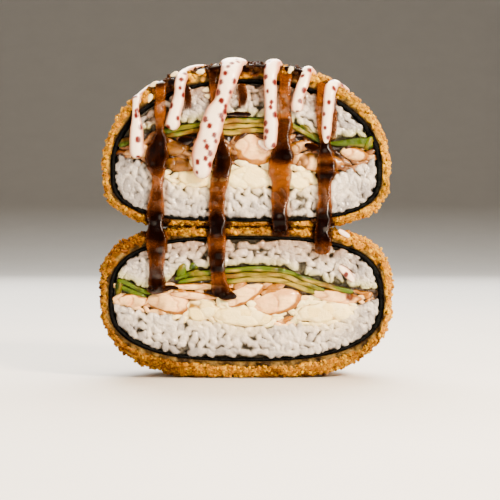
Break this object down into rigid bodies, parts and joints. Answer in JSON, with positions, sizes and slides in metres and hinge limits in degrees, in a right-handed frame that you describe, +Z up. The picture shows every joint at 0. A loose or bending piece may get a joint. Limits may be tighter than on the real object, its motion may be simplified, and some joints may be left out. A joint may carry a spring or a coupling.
{
  "type": "sushi burger",
  "caption": "Breaded sushi burger cut in half and stacked, cut faces forward: crumb crust, nori, rice, avocado, prawn and cream cheese, with white and dark sauce running down.",
  "frame": {"origin": "the flat spot under the lower half that the stack rests on, 17 mm behind the plane of the cut", "axes": "+Z up, -Y towards the viewer of the cut faces, +X to the right of that viewer"},
  "size_m": [0.0977, 0.0534, 0.1062],
  "materials": {
    "crust": "fried golden breadcrumb, rough and dry, with white and dark sauce and sesame on the upper half",
    "nori": "damp black seaweed, satin",
    "rice": "cooked short-grain rice, white, moist and translucent",
    "avocado": "ripe avocado, yellow-green with a darker green edge, satin",
    "prawn": "cooked prawn, pink-white flesh with orange skin, moist",
    "cheese": "cream cheese, ivory, soft and slightly curdy"
  },
  "bodies": {
    "root": {"crust_lower": "crust", "crust_upper": "crust", "nori_lower": "nori", "nori_upper": "nori", "rice_over_lower": "rice", "rice_under_lower": "rice", "rice_over_upper": "rice", "rice_under_upper": "rice", "avocado_lower_1": "avocado", "avocado_lower_2": "avocado", "avocado_lower_3": "avocado", "avocado_lower_4": "avocado", "avocado_lower_5": "avocado", "avocado_upper_1": "avocado", "avocado_upper_2": "avocado", "avocado_upper_3": "avocado", "avocado_upper_4": "avocado", "avocado_upper_5": "avocado", "prawn_lower_1": "prawn", "prawn_lower_2": "prawn", "prawn_lower_3": "prawn", "prawn_lower_4": "prawn", "prawn_lower_5": "prawn", "prawn_lower_6": "prawn", "prawn_lower_7": "prawn", "prawn_upper_1": "prawn", "prawn_upper_2": "prawn", "prawn_upper_3": "prawn", "prawn_upper_4": "prawn", "prawn_upper_5": "prawn", "prawn_upper_6": "prawn", "prawn_upper_7": "prawn", "prawn_upper_8": "prawn", "cheese_lower_1": "cheese", "cheese_lower_2": "cheese", "cheese_lower_3": "cheese", "cheese_upper_1": "cheese", "cheese_upper_2": "cheese", "cheese_upper_3": "cheese"}
  },
  "joints": []
}
